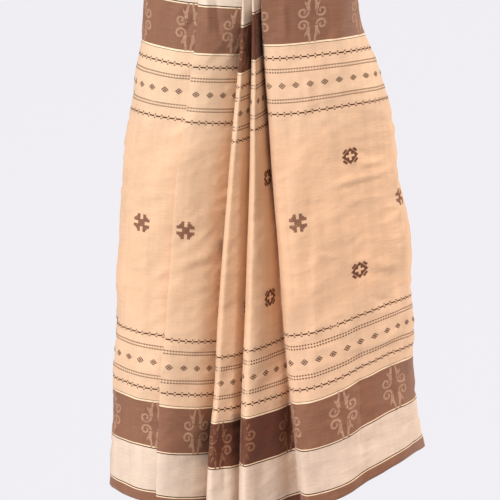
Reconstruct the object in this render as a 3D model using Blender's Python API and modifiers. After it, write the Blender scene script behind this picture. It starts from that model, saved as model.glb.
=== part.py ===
"""A worn lungi: one cotton cloth sewn into a tube, hung in knife folds and rolled over at the waist.

The cloth hangs on an open oval form. Six folds take up what is wider than the form. At a fold the
cloth runs on beneath the next stretch, turns back at an inner turn, and comes out again at the
fold's own edge, which lies on top. Each stretch between two inner turns is a solid of its own.
Seen from above the stretches run left side, front, right side, back. The front faces -Y.
"""
from collections import namedtuple
from math import cos, pi, radians, sin

import bpy
import numpy as np

# The cut and the cloth, in metres
CLOTH_AROUND = 2.10
HANG = 0.975
WALL = 0.0012
LAYER_AT_WAIST = 0.0024
LAYER_AT_HEM = 0.0048
SEAM_GAP = 0.0003
SINK = 0.040
OVAL_POWER = 2.3
RING_POINTS = 360
ROWS = 15
TURN_STEPS = 4

# The form that the cloth hangs on: half sizes either side of the middle, front and back, and
# where the edges of the four front folds lie across the front at that height.
Form = namedtuple("Form", "z left right front back side_fold narrow_pleat wide_pleat right_fold")
FORM = [
    Form(-0.98, 0.255, 0.330, 0.122, 0.172, -0.166, -0.0790, -0.0200, 0.0940),
    Form(-0.86, 0.251, 0.310, 0.118, 0.168, -0.162, -0.0722, -0.0177, 0.0807),
    Form(-0.78, 0.248, 0.298, 0.115, 0.165, -0.158, -0.0666, -0.0151, 0.0727),
    Form(-0.65, 0.242, 0.292, 0.110, 0.162, -0.148, -0.0590, -0.0095, 0.0606),
    Form(-0.53, 0.240, 0.287, 0.105, 0.155, -0.139, -0.0503, -0.0053, 0.0522),
    Form(-0.38, 0.228, 0.266, 0.098, 0.145, -0.127, -0.0378, -0.0005, 0.0398),
    Form(-0.26, 0.213, 0.249, 0.093, 0.137, -0.110, -0.0272, 0.0010, 0.0314),
    Form(-0.21, 0.206, 0.233, 0.090, 0.132, -0.103, -0.0224, 0.0024, 0.0271),
    Form(-0.14, 0.192, 0.203, 0.087, 0.125, -0.094, -0.0166, 0.0035, 0.0219),
    Form(-0.07, 0.187, 0.191, 0.083, 0.113, -0.089, -0.0132, 0.0035, 0.0190),
    Form(0.00, 0.184, 0.186, 0.080, 0.105, -0.086, -0.0105, 0.0035, 0.0175),
]
FORM_HEIGHTS = np.array([row.z for row in FORM])

# The folds in the order of the cloth. A front fold stands where its column of the form says, and
# its warp is how far along the cloth it is pressed. A back fold stands at a fraction of the back,
# and the two share what is left over. A rise is how far the hem lifts: just before the edge, at
# the inner turn, and at the edge.
Fold = namedtuple("Fold", "column across_back warp rise_under rise_turn rise_edge under_steps")
FOLDS = [
    Fold(None, 0.66, None, 0.028, 0.030, 0.026, 5),
    Fold("side_fold", None, 0.229, 0.005, 0.006, 0.005, 3),
    Fold("narrow_pleat", None, 0.490, 0.000, 0.004, -0.019, 4),
    Fold("wide_pleat", None, 0.698, -0.017, 0.006, -0.010, 4),
    Fold("right_fold", None, 0.990, 0.008, 0.038, 0.013, 6),
    Fold(None, 0.34, None, 0.055, 0.056, 0.050, 5),
]
BACK_LEFT, SIDE, NARROW, WIDE, RIGHT, BACK_RIGHT = range(len(FOLDS))
SIDE_FOLD_HIDES = 0.125
RISE_AT_SIDE = {BACK_LEFT: 0.020, RIGHT: 0.083}

# The stretches that show, each starting at the fold of its own row above
Stretch = namedtuple("Stretch", "name face_steps colour")
STRETCHES = [
    Stretch("left_side", 14, (0.80, 0.56, 0.38)),
    Stretch("left_front", 4, (0.86, 0.62, 0.43)),
    Stretch("first_pleat", 2, (0.74, 0.50, 0.33)),
    Stretch("second_pleat", 4, (0.82, 0.58, 0.40)),
    Stretch("right_front", 22, (0.84, 0.60, 0.41)),
    Stretch("back", 9, (0.78, 0.54, 0.36)),
]
CLOTH_ROUGHNESS = 0.85

# The rolled top edge
ROLL_STEPS = 72
ROLL_COLOUR = (0.20, 0.10, 0.06)
ROLL_CLEARANCE = 0.0012
RollPoint = namedtuple("RollPoint", "out z")
ROLL_OUTLINE = [
    RollPoint(0.0000, -0.0320),
    RollPoint(0.0025, -0.0350),
    RollPoint(0.0065, -0.0335),
    RollPoint(0.0090, -0.0270),
    RollPoint(0.0098, -0.0175),
    RollPoint(0.0090, -0.0080),
    RollPoint(0.0065, -0.0005),
    RollPoint(0.0025, 0.0028),
]
ROLL_LIP_BOTTOM = 0.0004
ROLL_LIP_TOP = 0.0020


def clear_scene():
    for old in list(bpy.data.objects):
        bpy.data.objects.remove(old, do_unlink=True)


def cloth_material(name, colour):
    material = bpy.data.materials.new(name)
    material.use_nodes = True
    shader = material.node_tree.nodes["Principled BSDF"]
    shader.inputs["Base Color"].default_value = (*colour, 1.0)
    shader.inputs["Roughness"].default_value = CLOTH_ROUGHNESS
    shader.inputs["Metallic"].default_value = 0.0
    return material


def form_size(column, z):
    """One column of the form table at height z, read off a smooth curve through its rows."""
    sizes = np.array([getattr(row, column) for row in FORM])
    slopes = np.gradient(sizes, FORM_HEIGHTS)
    z = min(max(z, FORM_HEIGHTS[0]), FORM_HEIGHTS[-1])
    i = min(int(np.searchsorted(FORM_HEIGHTS, z, side="right")) - 1, len(sizes) - 2)
    step = FORM_HEIGHTS[i + 1] - FORM_HEIGHTS[i]
    t = (z - FORM_HEIGHTS[i]) / step
    start = sizes[i] * (1 + 2 * t) * (1 - t) ** 2 + slopes[i] * step * t * (1 - t) ** 2
    end = sizes[i + 1] * t * t * (3 - 2 * t) - slopes[i + 1] * step * t * t * (1 - t)
    return start + end


class Ring:
    """The form's outline at one height, walked from the left side over the front and back."""

    def __init__(self, z):
        turn = pi + np.linspace(0.0, 2 * pi, RING_POINTS + 1)
        across, along = np.cos(turn), np.sin(turn)
        half_width = np.where(across < 0, form_size("left", z), form_size("right", z))
        half_depth = np.where(along < 0, form_size("front", z), form_size("back", z))
        self.x = half_width * np.sign(across) * np.abs(across) ** (2 / OVAL_POWER)
        self.y = half_depth * np.sign(along) * np.abs(along) ** (2 / OVAL_POWER)
        self.s = np.concatenate(([0.0], np.cumsum(np.hypot(np.diff(self.x), np.diff(self.y)))))
        self.around = self.s[-1]
        self.right_side = self.s[RING_POINTS // 2]
        self.layer = LAYER_AT_WAIST + (LAYER_AT_HEM - LAYER_AT_WAIST) * min(-z / HANG, 1.0)
        self.edges = self.find_edges(z)
        self.depths = self.find_depths()

    def find_edges(self, z):
        """Where each fold's edge lies along the outline."""
        front_half = slice(0, RING_POINTS // 2 + 1)
        back_length = self.around - self.right_side
        edges = []
        for fold in FOLDS:
            if fold.column:
                x = form_size(fold.column, z)
                edges.append(np.interp(x, self.x[front_half], self.s[front_half]))
            else:
                edges.append(self.right_side + fold.across_back * back_length)
        edges[BACK_LEFT] -= self.around
        return edges

    def find_depths(self):
        """How far the cloth runs on beneath each fold, from the cloth that is left to hide."""
        shown = np.diff(self.edges + [self.edges[BACK_LEFT] + self.around])
        hides = [0.0] * len(FOLDS)
        hides[SIDE] = SIDE_FOLD_HIDES
        for k in (NARROW, WIDE, RIGHT):
            hides[k] = FOLDS[k].warp - FOLDS[k - 1].warp - shown[k - 1]
        left_over = CLOTH_AROUND - self.around - sum(hides)
        hides[BACK_LEFT] = left_over / 2
        hides[BACK_RIGHT] = left_over / 2
        return [hidden / 2 for hidden in hides]

    def fold(self, k):
        """A fold's edge and depth, with k counted on round the ring in either direction."""
        laps, k = divmod(k, len(FOLDS))
        return self.edges[k] + laps * self.around, self.depths[k]

    def layers_beneath(self, s, k):
        """How many layers the folds up to k put beneath the cloth at s, easing off after each."""
        count = 0.0
        for j in range(k - 4, k + 1):
            edge, depth = self.fold(j)
            t = min(max((s - edge - depth - WALL) / SINK, 0.0), 1.0)
            count += 2 * (1 - t * t * (3 - 2 * t))
        return count

    def outermost(self, s):
        """The number of layers beneath the outermost cloth, eased on both sides of each fold."""
        count = 0.0
        for j in range(-2, len(FOLDS) + 1):
            edge, depth = self.fold(j)
            off = max(edge - WALL - s, s - edge - depth - WALL, 0.0)
            t = min(off / SINK, 1.0)
            count += 2 * (1 - t * t * (3 - 2 * t))
        return count

    def point(self, s, out, z):
        """A point on the outline at s, moved outwards."""
        s = s % self.around
        i = min(int(np.searchsorted(self.s, s, side="right")) - 1, RING_POINTS - 1)
        t = (s - self.s[i]) / (self.s[i + 1] - self.s[i])
        here = np.array([self.x[i], self.y[i]])
        there = np.array([self.x[i + 1], self.y[i + 1]])
        normal = self.normal(i) * (1 - t) + self.normal(i + 1) * t
        x, y = here + (there - here) * t + out * normal / np.hypot(*normal)
        return x, y, z

    def normal(self, i):
        before, after = (i - 1) % RING_POINTS, (i + 1) % RING_POINTS
        step = np.array([self.x[after] - self.x[before], self.y[after] - self.y[before]])
        return np.array([step[1], -step[0]]) / np.hypot(*step)


# A place on a stretch: its part, how far along that part, and how far the hem lifts there
Place = namedtuple("Place", "part along rise")


def stretch_places(k):
    """Every place across stretch k, from its seam beneath the fold to the next inner turn."""
    own, following = FOLDS[k], FOLDS[(k + 1) % len(FOLDS)]
    places = []
    for i in range(own.under_steps):
        t = i / own.under_steps
        places.append(Place("return", 1 - t, own.rise_turn + (own.rise_edge - own.rise_turn) * t))
    for i in range(TURN_STEPS):
        places.append(Place("edge", i / TURN_STEPS, own.rise_edge))
    for i in range(STRETCHES[k].face_steps):
        t = i / STRETCHES[k].face_steps
        rise = own.rise_edge + (following.rise_under - own.rise_edge) * t
        if k in RISE_AT_SIDE:
            rise += (RISE_AT_SIDE[k] - rise) * sin(pi * t) ** 2
        places.append(Place("face", t, rise))
    for i in range(following.under_steps):
        t = i / following.under_steps
        rise = following.rise_under + (following.rise_turn - following.rise_under) * t
        places.append(Place("under", t, rise))
    for i in range(TURN_STEPS + 1):
        places.append(Place("turn", i / TURN_STEPS, following.rise_turn))
    return places


def cloth_point(k, place, row):
    """Where a place of stretch k lies, on the given row up from the hem."""
    z = -(HANG - place.rise) * (1 - row / ROWS)
    ring = Ring(z)
    radius = ring.layer / 2
    edge, depth = ring.fold(k)
    next_edge, next_depth = ring.fold(k + 1)
    if place.part == "return":
        start, end = edge + radius, edge + depth - radius - SEAM_GAP
        s = start + (end - start) * place.along
        out = ring.layers_beneath(s, k - 1) + 1
    elif place.part == "edge":
        s = edge + radius * (1 - sin(pi * place.along))
        out = ring.layers_beneath(s, k - 1) + 1.5 - 0.5 * cos(pi * place.along)
    elif place.part == "face":
        s = edge + radius + (next_edge - edge - radius) * place.along
        out = ring.layers_beneath(s, k)
    elif place.part == "under":
        s = next_edge + (next_depth - radius) * place.along
        out = ring.layers_beneath(s, k)
    else:
        s = next_edge + next_depth - radius * (1 - sin(pi * place.along))
        out = ring.layers_beneath(s, k) + 0.5 - 0.5 * cos(pi * place.along)
    return ring.point(s, out * ring.layer, z)


def add_piece(name, points, faces, colour, collection):
    mesh = bpy.data.meshes.new(name)
    mesh.from_pydata(points, [], faces)
    mesh.materials.append(cloth_material(name + "_cotton", colour))
    piece = bpy.data.objects.new(name, mesh)
    collection.objects.link(piece)
    mesh.shade_smooth()
    mesh.set_sharp_from_angle(angle=radians(50))
    return piece


def make_stretch(k, collection):
    """An open sheet through every place and row, given its thickness by Solidify."""
    places = stretch_places(k)
    across = len(places)
    points = [cloth_point(k, place, row) for row in range(ROWS + 1) for place in places]
    faces = []
    for row in range(ROWS):
        for i in range(across - 1):
            corner = row * across + i
            faces.append((corner, corner + 1, corner + across + 1, corner + across))
    piece = add_piece(STRETCHES[k].name, points, faces, STRETCHES[k].colour, collection)
    wall = piece.modifiers.new("wall", "SOLIDIFY")
    wall.thickness = WALL
    wall.offset = 0.0
    wall.use_even_offset = True


def make_waist_roll(collection):
    """The turned-over top: a closed outline swept round the waist, with a lip over the walls."""
    points = []
    for i in range(ROLL_STEPS):
        points.extend(roll_section(i / ROLL_STEPS))
    per_section = len(points) // ROLL_STEPS
    faces = []
    for i in range(ROLL_STEPS):
        for j in range(per_section):
            here, there = i * per_section, (i + 1) % ROLL_STEPS * per_section
            after = (j + 1) % per_section
            faces.append((here + j, there + j, there + after, here + after))
    add_piece("waist_roll", points, faces, ROLL_COLOUR, collection)


def roll_section(place):
    """The roll's points at one place round the waist, from its lip down and round the outside."""
    section = []
    top = Ring(0.0)
    s = place * top.around
    wall_face = top.outermost(s) * top.layer + WALL / 2 + ROLL_CLEARANCE
    section.append(top.point(s, -WALL / 2, ROLL_LIP_BOTTOM))
    section.append(top.point(s, wall_face, ROLL_LIP_BOTTOM))
    for corner in ROLL_OUTLINE:
        ring = Ring(min(corner.z, 0.0))
        section.append(ring.point(place * ring.around, wall_face + corner.out, corner.z))
    section.append(top.point(s, -WALL / 2, ROLL_LIP_TOP))
    return section


clear_scene()
lungi = bpy.data.collections.new("lungi")
bpy.context.scene.collection.children.link(lungi)
for number in range(len(STRETCHES)):
    make_stretch(number, lungi)
make_waist_roll(lungi)
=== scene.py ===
"""The looks of a worn lungi: one bordered cotton cloth, sewn into a tube and hung in knife folds."""

from collections import namedtuple
from math import ceil, cos, floor, pi, radians, sin

import bmesh
import bpy
import numpy as np
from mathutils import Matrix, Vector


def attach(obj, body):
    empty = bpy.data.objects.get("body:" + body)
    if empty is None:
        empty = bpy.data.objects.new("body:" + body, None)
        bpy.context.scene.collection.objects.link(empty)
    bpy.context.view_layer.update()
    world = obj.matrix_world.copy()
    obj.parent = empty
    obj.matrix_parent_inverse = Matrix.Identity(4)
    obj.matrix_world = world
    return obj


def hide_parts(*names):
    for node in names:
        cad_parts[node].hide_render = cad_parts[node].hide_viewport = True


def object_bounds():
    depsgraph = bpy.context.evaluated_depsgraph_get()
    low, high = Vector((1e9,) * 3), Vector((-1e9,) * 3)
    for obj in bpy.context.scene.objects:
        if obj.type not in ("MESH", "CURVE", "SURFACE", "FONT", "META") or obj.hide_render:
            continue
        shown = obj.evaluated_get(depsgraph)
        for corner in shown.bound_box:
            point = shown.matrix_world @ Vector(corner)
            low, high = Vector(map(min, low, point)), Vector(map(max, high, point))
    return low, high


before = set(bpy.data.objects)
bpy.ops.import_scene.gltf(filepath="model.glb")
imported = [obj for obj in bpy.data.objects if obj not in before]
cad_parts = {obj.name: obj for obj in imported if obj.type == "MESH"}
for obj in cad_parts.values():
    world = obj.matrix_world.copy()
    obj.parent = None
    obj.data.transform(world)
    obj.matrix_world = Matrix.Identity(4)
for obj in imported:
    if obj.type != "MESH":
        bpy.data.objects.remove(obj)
cad_low, cad_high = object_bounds()
scene = bpy.context.scene
scene.view_settings.view_transform = "Standard"


# The studio
# The garment hangs clear of a wide, pale paper floor. A large, slightly cool lamp stands at the front
# left, and a weaker one at the right, a little behind. The rest comes from a lamp straight over the
# floor and from the warm room.
CAMERA_DISTANCE = 5.0
CAMERA_HEIGHT = 0.35
CAMERA_PITCH = radians(10)
PHOTO_WIDTH_PX = 500
FOCAL_LENGTH_PX = 2821

camera_data = bpy.data.cameras.new("studio_camera")
camera_data.sensor_width = 36.0
camera_data.lens = camera_data.sensor_width * FOCAL_LENGTH_PX / PHOTO_WIDTH_PX
camera = bpy.data.objects.new("studio_camera", camera_data)
camera.location = (0.0, -CAMERA_DISTANCE, CAMERA_HEIGHT)
camera.rotation_euler = (pi / 2 - CAMERA_PITCH, 0.0, 0.0)
scene.collection.objects.link(camera)
scene.camera = camera

KEY_STRENGTH = 3.25
KEY_COLOUR = "#f2f6ff"
KEY_AZIMUTH = radians(-38)
KEY_HEIGHT = radians(30)
FILL_STRENGTH = 2.7
FILL_AZIMUTH = radians(103)
FILL_HEIGHT = radians(20)
LAMP_SPREAD = radians(14)
TOP_STRENGTH = 0.60
TOP_SPREAD = radians(10)
ROOM_STRENGTH = 0.30
ROOM_COLOUR = "#ffc890"
FLOOR_COLOUR = "#dbe3ed"
FLOOR_BELOW_HEM = 0.90
FLOOR_RADIUS = 60.0
FLOOR_SIDES = 96


def linear(hex_colour):
    """An sRGB hex colour as linear red, green, blue and alpha."""
    values = [int(hex_colour[i:i + 2], 16) / 255 for i in (1, 3, 5)]
    return (*[v / 12.92 if v <= 0.04045 else ((v + 0.055) / 1.055) ** 2.4 for v in values], 1.0)


def add(tree, kind, inputs=None, **settings):
    """Adds a node with its settings and each input's value or link, and returns its outputs."""
    node = tree.nodes.new(kind)
    for setting, value in settings.items():
        setattr(node, setting, value)
    for socket, value in (inputs or {}).items():
        if isinstance(value, bpy.types.NodeSocket):
            tree.links.new(value, node.inputs[socket])
        else:
            node.inputs[socket].default_value = value
    return node.outputs


def add_sun(name, strength, azimuth, height, spread, colour="#ffffff"):
    """A far lamp. Azimuth 0 shines from the camera's side, and a negative one from its left."""
    lamp = bpy.data.lights.new(name, "SUN")
    lamp.energy = strength
    lamp.angle = spread
    lamp.color = linear(colour)[:3]
    sun = bpy.data.objects.new(name, lamp)
    sun.rotation_euler = (pi / 2 - height, 0.0, azimuth)
    scene.collection.objects.link(sun)


add_sun("key_lamp", KEY_STRENGTH, KEY_AZIMUTH, KEY_HEIGHT, LAMP_SPREAD, KEY_COLOUR)
add_sun("fill_lamp", FILL_STRENGTH, FILL_AZIMUTH, FILL_HEIGHT, LAMP_SPREAD)
add_sun("top_lamp", TOP_STRENGTH, 0.0, pi / 2, TOP_SPREAD)

room = bpy.data.worlds.new("warm_room")
room.use_nodes = True
room.node_tree.nodes["Background"].inputs["Color"].default_value = linear(ROOM_COLOUR)
room.node_tree.nodes["Background"].inputs["Strength"].default_value = ROOM_STRENGTH
scene.world = room

floor_mesh = bpy.data.meshes.new("paper_floor")
floor_bm = bmesh.new()
bmesh.ops.create_circle(floor_bm, cap_ends=True, segments=FLOOR_SIDES, radius=FLOOR_RADIUS)
floor_bm.to_mesh(floor_mesh)
floor_bm.free()
paper_floor = bpy.data.objects.new("paper_floor", floor_mesh)
paper_floor.location.z = cad_low.z - FLOOR_BELOW_HEM
scene.collection.objects.link(paper_floor)
paper = bpy.data.materials.new("matt_paper")
paper.use_nodes = True
paper.node_tree.nodes["Principled BSDF"].inputs["Base Color"].default_value = linear(FLOOR_COLOUR)
paper.node_tree.nodes["Principled BSDF"].inputs["Roughness"].default_value = 0.9
floor_mesh.materials.append(paper)


# The hanging cloth
# One length of plain-woven cotton, sewn end to end into a tube. It hangs on the body's oval form in
# knife folds: at each fold it runs on beneath the next stretch, turns back, and comes out again at
# the fold's edge. Each stretch between two hidden turns is a sheet of its own, on its own solid.
MM = 0.001
CLOTH_AROUND = 2.10
HANG = 0.975
WALL = 0.0012
SHEET_THICKNESS = 0.0005
LAYER_AT_WAIST = 0.0024
LAYER_AT_HEM = 0.0048
SEAM_GAP = 0.0003
SINK = 0.040
OVAL_POWER = 2.3
SHEET_ROWS = 225
EDGE_STEPS = 16
TURN_STEPS = 8
SAMPLES_IN_LOOP = 129
SAMPLES_IN_FACE = 97

# The form: half sizes either side of the middle, front and back, and where the edges of the four
# front folds lie across the front.
Form = namedtuple("Form", "z left right front back side_fold narrow_pleat wide_pleat right_fold")
FORM = [
    Form(-0.98, 0.255, 0.330, 0.122, 0.172, -0.166, -0.0815, -0.0200, 0.0940),
    Form(-0.86, 0.251, 0.310, 0.118, 0.168, -0.162, -0.0745, -0.0177, 0.0807),
    Form(-0.78, 0.248, 0.298, 0.115, 0.165, -0.158, -0.0666, -0.0151, 0.0727),
    Form(-0.65, 0.242, 0.292, 0.110, 0.162, -0.148, -0.0590, -0.0095, 0.0606),
    Form(-0.53, 0.240, 0.287, 0.105, 0.155, -0.139, -0.0503, -0.0053, 0.0522),
    Form(-0.38, 0.228, 0.266, 0.098, 0.145, -0.127, -0.0378, -0.0005, 0.0398),
    Form(-0.26, 0.213, 0.249, 0.093, 0.137, -0.110, -0.0272, 0.0010, 0.0314),
    Form(-0.21, 0.206, 0.233, 0.090, 0.132, -0.103, -0.0224, 0.0024, 0.0271),
    Form(-0.14, 0.192, 0.203, 0.087, 0.125, -0.094, -0.0166, 0.0035, 0.0219),
    Form(-0.07, 0.187, 0.191, 0.083, 0.113, -0.089, -0.0132, 0.0035, 0.0190),
    Form(0.00, 0.184, 0.186, 0.080, 0.105, -0.086, -0.0105, 0.0035, 0.0175),
]
FORM_HEIGHTS = np.array([row.z for row in FORM])

# The folds in the order of the cloth. Warp is where the cloth would be pressed if the fold were
# shut. Tuck is how far the cloth dips in before the edge, over the run before it, with a round or a
# sudden start. Stand is how far the edge then stands out over that dip, as an open loop, and
# settles is how soon the face after it comes down. Tuck and stand are at the hem.
Fold = namedtuple("Fold", "column across_back warp tuck run start stand settles")
FOLDS = [
    Fold(None, 0.66, None, 0.006, 0.070, 0.60, 0.007, 0.130),
    Fold("side_fold", None, 0.229, 0.004, 0.040, 0.60, 0.006, 0.130),
    Fold("narrow_pleat", None, 0.480, 0.052, 0.140, 0.55, 0.040, 0.130),
    Fold("wide_pleat", None, 0.698, 0.013, 0.018, 0.30, 0.046, 0.078),
    Fold("right_fold", None, 1.013, 0.048, 0.112, 0.45, 0.048, 0.130),
    Fold(None, 0.34, None, 0.006, 0.070, 0.60, 0.007, 0.130),
]
BACK_LEFT, SIDE, NARROW, WIDE, RIGHT, BACK_RIGHT = range(len(FOLDS))
EDGE_ROUNDNESS = 0.21
BROAD_FACE, BROADENS_OVER = 0.130, 0.03
NARROW_FALL = 0.06
TUCK_ENDS = 0.160
LONGEST_RUN = 0.97
OPENS_FROM, OPENS_OVER, OPEN_AT_WAIST = 0.01, 0.20, 0.62

# How far the cloth is hitched up at each fold, at the hem and at the top, in millimetres: just
# before the edge, at the hidden turn and at the edge
Hitch = namedtuple("Hitch", "under turn edge")
HITCHES = [
    [Hitch(*[size * MM for size in row]) for row in table]
    for table in (
        [(28, 30, 26), (-1, 0, -3), (-18, -6, -33), (-34, -6, -22), (-9, 26, 1), (55, 56, 50)],
        [(12, 12, 11), (1, 0, -1), (-6, -14, -37), (-32, -21, -14), (-10, 3, 12), (22, 20, 18)],
    )
]
SIDE_FOLD_HIDES = 0.114
CLOTH_GIVES = 1.024
HITCH_AT_SIDE = {BACK_LEFT: (0.012, 0.016), RIGHT: (0.083, 0.025)}
HITCH_SETTLES = -0.17

Stretch = namedtuple("Stretch", "name return_steps face_steps under_steps")
STRETCHES = [
    Stretch("left_side", 14, 84, 10),
    Stretch("left_front", 10, 32, 14),
    Stretch("first_pleat", 14, 18, 16),
    Stretch("second_pleat", 16, 26, 18),
    Stretch("right_front", 16, 124, 14),
    Stretch("back", 14, 44, 14),
]

# The main creases, each a soft ridge, or a trough where its height is negative, from one place to
# another across the front or back. Sizes are in millimetres.
Crease = namedtuple("Crease", "side x0 z0 x1 z1 width height")
FRONT_CREASES = [
    (-134, -543, -46, -518, 8.5, 4.6),
    (-132, -560, -48, -535, 7.0, -3.6),
    (-110, -588, -52, -574, 10.0, 2.6),
    (-120, -470, -56, -452, 12.0, 2.6),
    (-199, -355, -219, -478, 6.5, 3.0),
    (-221, -348, -204, -368, 4.0, -2.4),
    (-182, -560, -196, -700, 7.0, 2.2),
    (-76, -55, -71, -140, 6.0, 4.2),
    (-60, -60, -52, -150, 5.0, -3.6),
    (-120, -145, -90, -95, 6.0, -3.6),
    (-140, -110, -112, -85, 6.0, 3.0),
    (56, -70, 62, -150, 5.5, 3.2),
    (100, -110, 136, -92, 5.5, -2.8),
    (136, -150, 168, -120, 6.0, 3.0),
    (-132, -212, -86, -176, 7.0, 2.6),
    (198, -735, 198, -905, 3.4, -2.0),
    (268, -780, 269, -875, 3.4, -2.0),
    (118, -400, 112, -800, 8.0, 2.6),
    (-47, -840, -47, -965, 3.4, -1.8),
    (128, -401, 262, -377, 6.0, 3.4),
    (134, -414, 250, -392, 6.0, -2.6),
    (86, -436, 158, -428, 5.0, -2.2),
    (155, -434, 252, -420, 5.5, 2.8),
    (160, -358, 236, -366, 5.5, 2.4),
    (110, -286, 148, -314, 4.5, 2.4),
    (172, -334, 220, -354, 5.0, -2.2),
    (104, -200, 100, -268, 6.0, 2.4),
    (170, -532, 276, -553, 8.0, 3.4),
    (176, -549, 266, -570, 7.0, -2.4),
    (102, -518, 164, -531, 4.8, 2.6),
    (224, -484, 276, -449, 6.0, 2.8),
    (206, -597, 266, -625, 6.5, -2.6),
    (112, -637, 186, -663, 8.5, 2.6),
    (228, -690, 280, -668, 8.0, 2.2),
    (-12, -290, 16, -322, 5.0, 2.4),
    (4, -600, 44, -622, 6.0, 2.2),
]
BACK_CREASES = [
    (-80, -240, 20, -262, 8.5, 4.0),
    (-70, -258, 26, -280, 8.0, -2.8),
    (-30, -420, 90, -396, 9.0, 4.2),
    (120, -330, 200, -372, 8.0, -3.0),
    (-180, -520, -100, -488, 8.5, 3.4),
    (-176, -540, -90, -506, 8.0, -2.6),
    (20, -640, 130, -668, 8.0, 3.0),
    (-52, -700, -50, -880, 3.6, -1.8),
    (88, -760, 89, -930, 3.6, -1.8),
    (176, -560, 240, -600, 7.0, 2.8),
    (-140, -300, -150, -400, 8.0, 2.8),
    (60, -140, 52, -210, 7.0, 2.6),
]
CREASES = [Crease(side, *[size * MM for size in row])
           for side, table in ((-1, FRONT_CREASES), (1, BACK_CREASES)) for row in table]

# Small uneven rumples: fixed random heights on grids of so many cells round the form and down it.
# Crisp is the share of each that is a sharp fold line and not a soft swelling.
Rumple = namedtuple("Rumple", "around down height crisp")
RUMPLES = [
    Rumple(24, 12, 0.0040, 0.0),
    Rumple(31, 37, 0.0030, 0.8),
    Rumple(67, 61, 0.0015, 0.6),
]
RUMPLE_LEAN = 0.7
FOLD_LINE_TOP, FOLD_LINE_SLOPE = 0.4, 1.2
RUMPLES_FROM, RUMPLES_OVER = 0.03, 0.15

# The soft waves that a hanging cloth has all over: round the form, down it, and where they start.
# At the waist they have only a share of their height.
WAVES_AT_WAIST = 0.35
Wave = namedtuple("Wave", "around down start height")
WAVES = [
    Wave(0.173, 1.90, 0.4, 0.0012),
    Wave(0.097, -1.10, 2.1, 0.0008),
    Wave(0.061, 0.83, 4.0, 0.0005),
    Wave(0.240, 0.31, 1.2, 0.0006),
    Wave(0.130, -0.22, 5.1, 0.0005),
]


def form_size(column, z):
    """One column of the form table at heights z, read off a smooth curve through its rows."""
    sizes = np.array([getattr(row, column) for row in FORM])
    slopes = np.gradient(sizes, FORM_HEIGHTS)
    z = np.clip(z, FORM_HEIGHTS[0], FORM_HEIGHTS[-1])
    i = np.clip(np.searchsorted(FORM_HEIGHTS, z, side="right") - 1, 0, len(sizes) - 2)
    step = FORM_HEIGHTS[i + 1] - FORM_HEIGHTS[i]
    t = (z - FORM_HEIGHTS[i]) / step
    start = sizes[i] * (1 + 2 * t) * (1 - t) ** 2 + slopes[i] * step * t * (1 - t) ** 2
    end = sizes[i + 1] * t * t * (3 - 2 * t) - slopes[i + 1] * step * t * t * (1 - t)
    return start + end


def smooth(t):
    """0 below 0, 1 above 1, and an even ease between."""
    t = np.clip(t, 0.0, 1.0)
    return t * t * (3 - 2 * t)


def eased(t, start):
    """From 0 to 1 along t, round at first and then straight. A small start is the more sudden."""
    t = np.clip(t, 0.0, 1.0)
    return (np.hypot(start, t) - start) / (np.hypot(start, 1.0) - start)


def hang_share(z):
    """0 at the waist and 1 at the hem."""
    return np.clip(-z / HANG, 0.0, 1.0)


def layer(z):
    """How far apart the layers of cloth lie."""
    return LAYER_AT_WAIST + (LAYER_AT_HEM - LAYER_AT_WAIST) * hang_share(z)


def opened(z):
    """How far the folds have opened: they are gripped flat at the waist and free at the hem."""
    share = OPEN_AT_WAIST + (1 - OPEN_AT_WAIST) * hang_share(z)
    return smooth((-z - OPENS_FROM) / OPENS_OVER) * share


def loop_height(k, z):
    """The height of the open loop at a fold's edge, from its lower layer to its upper one."""
    return layer(z) + FOLDS[k % len(FOLDS)].stand * opened(z)


def loop_bend(k, z):
    """The length of cloth in half of that loop."""
    height = loop_height(k, z)
    return pi / 2 * height * np.sqrt((EDGE_ROUNDNESS ** 2 + 0.25) / 2)


def loop_reach(k, z):
    """How far after the fold's edge the top of that loop lies."""
    return EDGE_ROUNDNESS * loop_height(k, z)


def loop_share(t):
    """The share of the loop's length up to a turn of t, from 0 at its foot to 1 at its top."""
    turn = np.linspace(0.0, 1.0, SAMPLES_IN_LOOP)
    speed = np.hypot(EDGE_ROUNDNESS * np.cos(pi * turn), 0.5 * np.sin(pi * turn))
    length = np.concatenate(([0.0], np.cumsum((speed[:-1] + speed[1:]) / 2)))
    return np.interp(t, turn, length / length[-1])


def blend(table, i, a, j, after, b):
    """A table read a share a from row i to the next, and a share b from column j to another."""
    row, next_row = [table[r, j] * (1 - b) + table[r, after] * b for r in (i, i + 1)]
    return row * (1 - a) + next_row * a


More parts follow.
